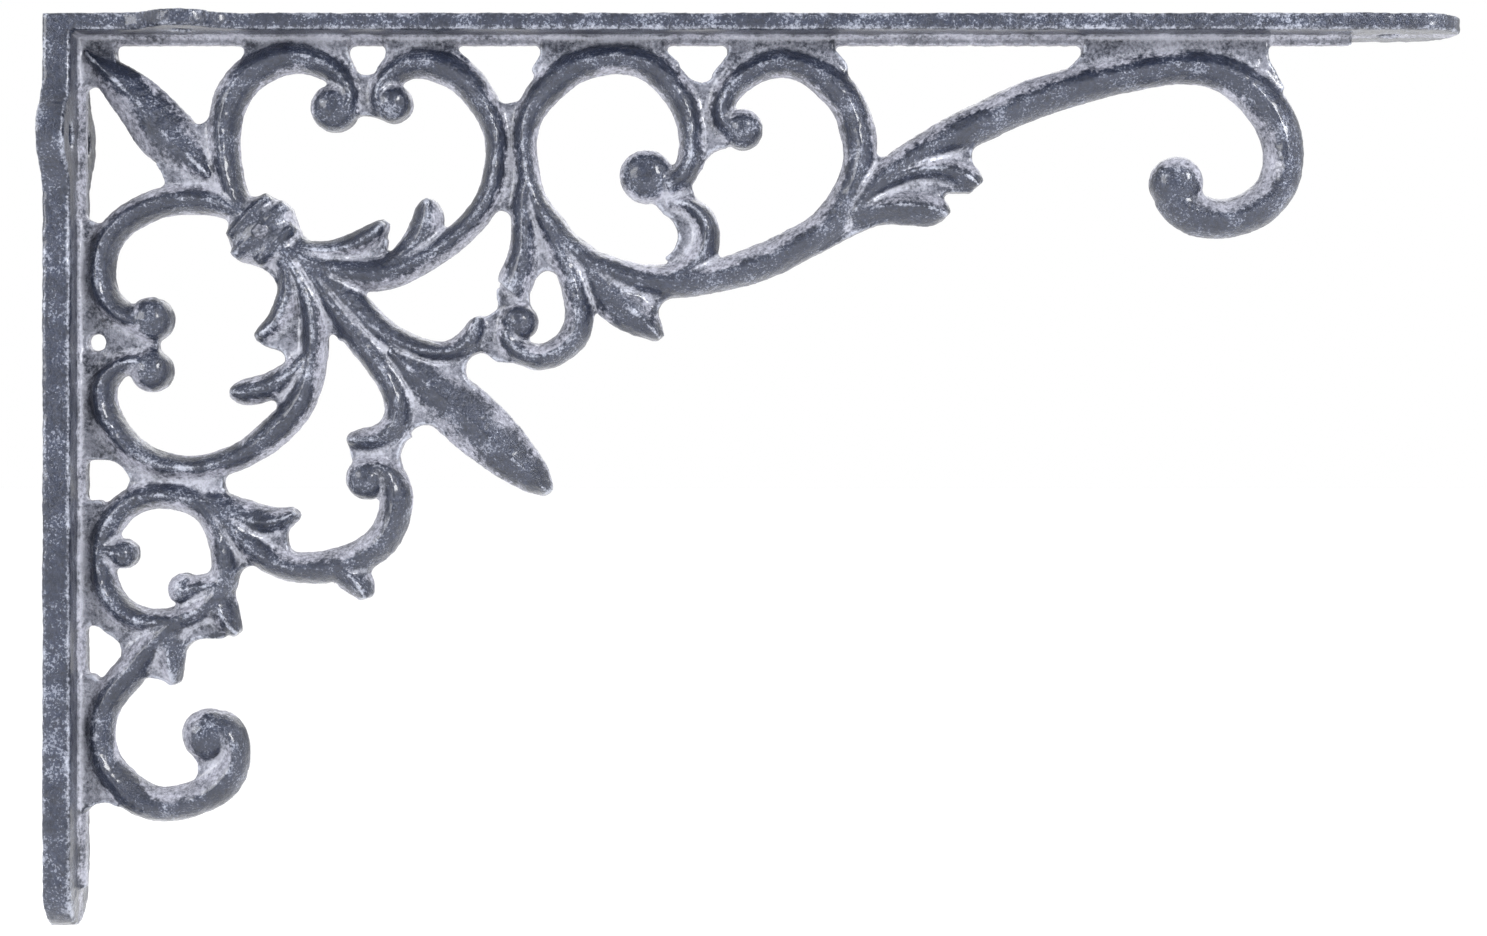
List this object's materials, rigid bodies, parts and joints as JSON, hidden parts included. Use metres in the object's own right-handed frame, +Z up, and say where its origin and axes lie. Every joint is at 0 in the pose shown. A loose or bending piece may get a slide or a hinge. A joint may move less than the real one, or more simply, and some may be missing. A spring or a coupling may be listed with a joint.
{
  "type": "shelf bracket",
  "caption": "Cast-iron shelf bracket: wall and shelf bars at a right angle, joined by openwork scrolls, leaves and a fleur-de-lis, with screw ears and a tip hole.",
  "frame": {"origin": "where the wall plane meets the underside of the shelf board, halfway across the bars", "axes": "+X out from the wall along the shelf bar, +Y across the bars, +Z up"},
  "size_m": [0.3, 0.0328, 0.1932],
  "materials": {
    "cast_iron": "as cast, slate blue-grey, sealed, grainy"
  },
  "bodies": {
    "root": {"wall_bar": "cast_iron", "shelf_bar": "cast_iron", "collar": "cast_iron", "heart_top_inner_scroll": "cast_iron", "heart_low_inner_scroll": "cast_iron", "heart_top_outer_scroll": "cast_iron", "heart_low_outer_scroll": "cast_iron", "corner_leaf": "cast_iron", "lower_vine": "cast_iron", "ring_scroll": "cast_iron", "shelf_scroll": "cast_iron", "front_arm": "cast_iron", "front_arm_lower_leaf": "cast_iron", "front_arm_upper_leaf": "cast_iron", "fleur_upper_petal": "cast_iron", "fleur_lower_petal": "cast_iron", "fleur_spear": "cast_iron", "heart_top_inner_leaflet": "cast_iron", "heart_top_outer_leaflet": "cast_iron", "heart_low_inner_leaflet": "cast_iron", "heart_low_outer_leaflet": "cast_iron", "ring_crook": "cast_iron", "ring_leaf": "cast_iron", "drop_leaf": "cast_iron", "drop_scroll": "cast_iron", "wall_ring_upper_half": "cast_iron", "wall_ring_lower_half": "cast_iron", "wall_ring_left_bud": "cast_iron", "wall_ring_right_bud": "cast_iron", "wall_ring_right_leaf": "cast_iron", "wall_ring_drop_leaf": "cast_iron", "wall_vine": "cast_iron", "wall_vine_spur": "cast_iron", "wall_vine_leaf": "cast_iron", "foot_scroll": "cast_iron", "corner_gusset": "cast_iron", "heart_top_tie": "cast_iron", "heart_low_tie": "cast_iron", "heart_ring_tie": "cast_iron", "ring_shelf_scroll_tie": "cast_iron", "ring_crook_tie": "cast_iron", "drop_scroll_web": "cast_iron", "drop_leaf_tie": "cast_iron", "petal_drop_tie": "cast_iron", "petal_vine_tie": "cast_iron", "heart_wall_ring_tie": "cast_iron"}
  },
  "joints": []
}
